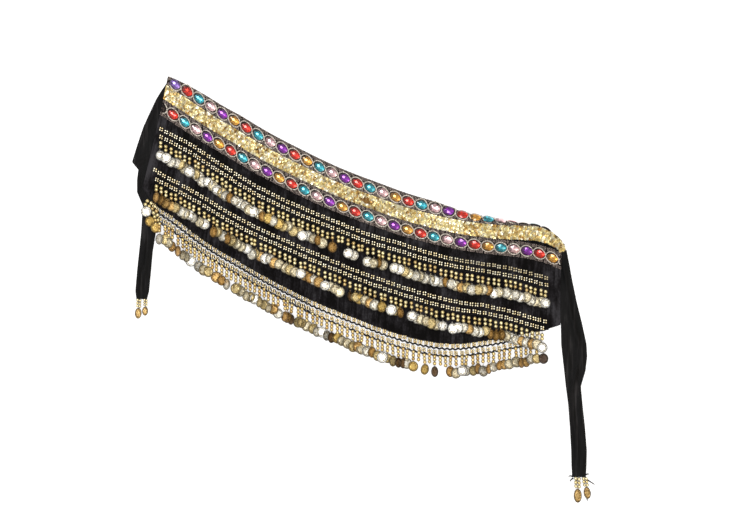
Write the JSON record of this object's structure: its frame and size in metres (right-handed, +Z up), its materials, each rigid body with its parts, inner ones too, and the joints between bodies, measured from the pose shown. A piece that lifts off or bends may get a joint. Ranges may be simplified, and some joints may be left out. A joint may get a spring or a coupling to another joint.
{
  "type": "belly dance hip scarf",
  "caption": "Curved velvet hip scarf laid flat, with jewelled braids, a sequin band, tiers of beads and hanging coins, and a tie ribbon at each end.",
  "frame": {"origin": "centre of the laid-out scarf's footprint, on the surface it lies on", "axes": "+X along the hips to the wearer's left end, +Y towards the waist edge, +Z up off the surface"},
  "size_m": [0.6881, 0.6363, 0.0208],
  "materials": {
    "velvet": "black cotton velvet with a short nap",
    "ribbon": "black satin-faced ribbon, soft sheen",
    "braid": "woven braid of black and silver thread",
    "sequins": "pale gold metallised sequins, bright",
    "beads": "pale gold plated plastic beads, bright",
    "coins": "stamped thin metal, plated silver to pale gold, bright",
    "jewels": "foil-backed faceted ovals in red, teal, pink, purple and amber",
    "thread": "black crochet thread"
  },
  "bodies": {
    "root": {"velvet_panel": "velvet", "tie_left": "ribbon", "tie_right": "ribbon", "jewel_braid_upper": "braid", "jewel_braid_lower": "braid", "sequin_band": "sequins", "bead_net_1": "beads", "bead_net_2": "beads", "bead_net_3": "beads", "coin_fringe_1": "coins", "coin_fringe_2": "coins", "coin_fringe_3": "coins", "pendant_left_1": "coins", "pendant_left_2": "coins", "pendant_right_1": "coins", "pendant_right_2": "coins"}
  },
  "joints": []
}
